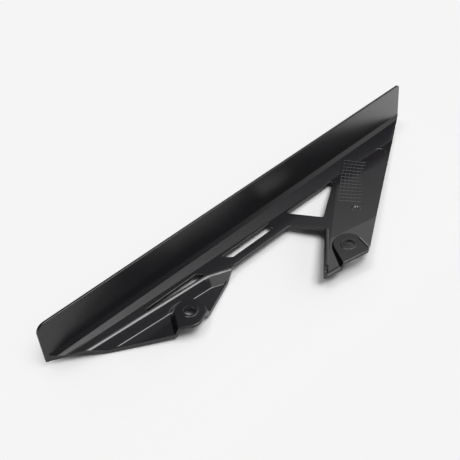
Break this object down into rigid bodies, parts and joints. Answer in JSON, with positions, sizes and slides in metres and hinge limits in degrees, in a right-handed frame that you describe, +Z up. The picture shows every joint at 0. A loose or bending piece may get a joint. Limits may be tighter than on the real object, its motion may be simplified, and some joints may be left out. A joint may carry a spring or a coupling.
{
  "type": "motorcycle chain guard",
  "caption": "Long L-shaped chain guard moulded in one piece: a flange roofs the chain, and a cut-out side panel with pocketed bolt seats fixes it to the swing arm.",
  "frame": {"origin": "middle of the bounding box, at the table the guard lies on", "axes": "+X along the fold from the rear end to the front end, +Y from the side panel to the flange, +Z up from the table, which is towards the wheel when the guard is fitted"},
  "size_m": [0.4104, 0.1054, 0.0438],
  "materials": {
    "guard_plastic": "black moulded polypropylene, satin, fine grain"
  },
  "bodies": {
    "root": {"chain_guard": "guard_plastic"}
  },
  "joints": []
}
